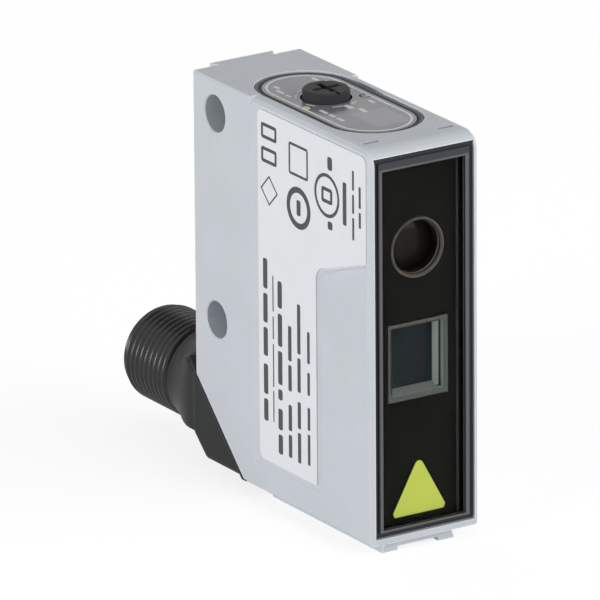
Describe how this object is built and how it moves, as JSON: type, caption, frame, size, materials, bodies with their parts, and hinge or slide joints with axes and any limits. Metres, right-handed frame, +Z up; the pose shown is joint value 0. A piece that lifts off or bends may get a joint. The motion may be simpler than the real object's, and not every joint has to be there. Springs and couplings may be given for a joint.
{
  "type": "laser displacement sensor",
  "caption": "Compact laser displacement sensor: painted metal housing, stepped optics behind a front glass, selector and lamps on top, dovetail rails and a swivelling round plug.",
  "frame": {"origin": "midway between the side faces and between the front face and the plug's end, in the plane that the bottom rail stands on", "axes": "-Y is the way the beam leaves the front face, +Y the way the plug points, +Z up, X across the width with the name plate on the -X side"},
  "size_m": [0.015, 0.0572, 0.0507],
  "materials": {
    "housing_paint": "satin silver-grey paint on a die casting",
    "plate_foil": "printed foil, bare",
    "frame_plastic": "dark grey moulded plastic",
    "rubber": "black seal rubber",
    "front_glass": "clear pane",
    "optics_plastic": "matt black",
    "ring_metal": "dark bronze anodised",
    "lens_glass": "polished lens",
    "rim_plastic": "dark green-grey plastic",
    "brass": "turned brass",
    "steel": "bright steel",
    "board": "green solder mask",
    "chip_plastic": "black moulding compound",
    "window_plastic": "smoked clear window",
    "lamp_green": "green light pipe",
    "lamp_amber": "amber light pipe",
    "knob_plastic": "dark moulded plastic",
    "patch_foil": "plain yellow-green foil",
    "plug_plastic": "black glass-filled plastic",
    "pin_gold": "gold-plated pin"
  },
  "bodies": {
    "sensor": {"housing": "housing_paint", "name_plate": "plate_foil", "front_frame": "frame_plastic", "front_gasket": "rubber", "front_glass": "front_glass", "optics_carrier": "optics_plastic", "transmitter_ring": "ring_metal", "transmitter_lens": "lens_glass", "laser_holder": "brass", "laser_diode": "steel", "laser_board": "board", "receiver_rim": "rim_plastic", "receiver_lens": "lens_glass", "sensor_board": "board", "detector_chip": "chip_plastic", "main_board": "board", "processor": "chip_plastic", "panel_seal": "rubber", "panel_window": "window_plastic", "control_board": "board", "lamp_green": "lamp_green", "lamp_amber": "lamp_amber", "switch_body": "chip_plastic", "knob_ring": "rubber", "colour_patch": "patch_foil"},
    "selector": {"selector_knob": "knob_plastic"},
    "plug": {"swivel_body": "plug_plastic", "pivot_seal": "rubber", "pivot_clip": "steel", "threaded_sleeve": "plug_plastic", "contact_carrier": "plug_plastic", "contact_pin_1": "pin_gold", "contact_pin_2": "pin_gold", "contact_pin_3": "pin_gold", "contact_pin_4": "pin_gold", "contact_pin_5": "pin_gold"}
  },
  "joints": [
    {"name": "selector_turn", "type": "hinge", "parent": "sensor", "child": "selector", "pos_m": [0, -0.0078, 0.0497], "axis": [0, 0, 1], "range_deg": [-135, 135]},
    {"name": "plug_swivel", "type": "hinge", "parent": "sensor", "child": "plug", "pos_m": [0, 0.004, 0.0071], "axis": [0, 0.7071, -0.7071], "range_deg": [0, 180]}
  ]
}
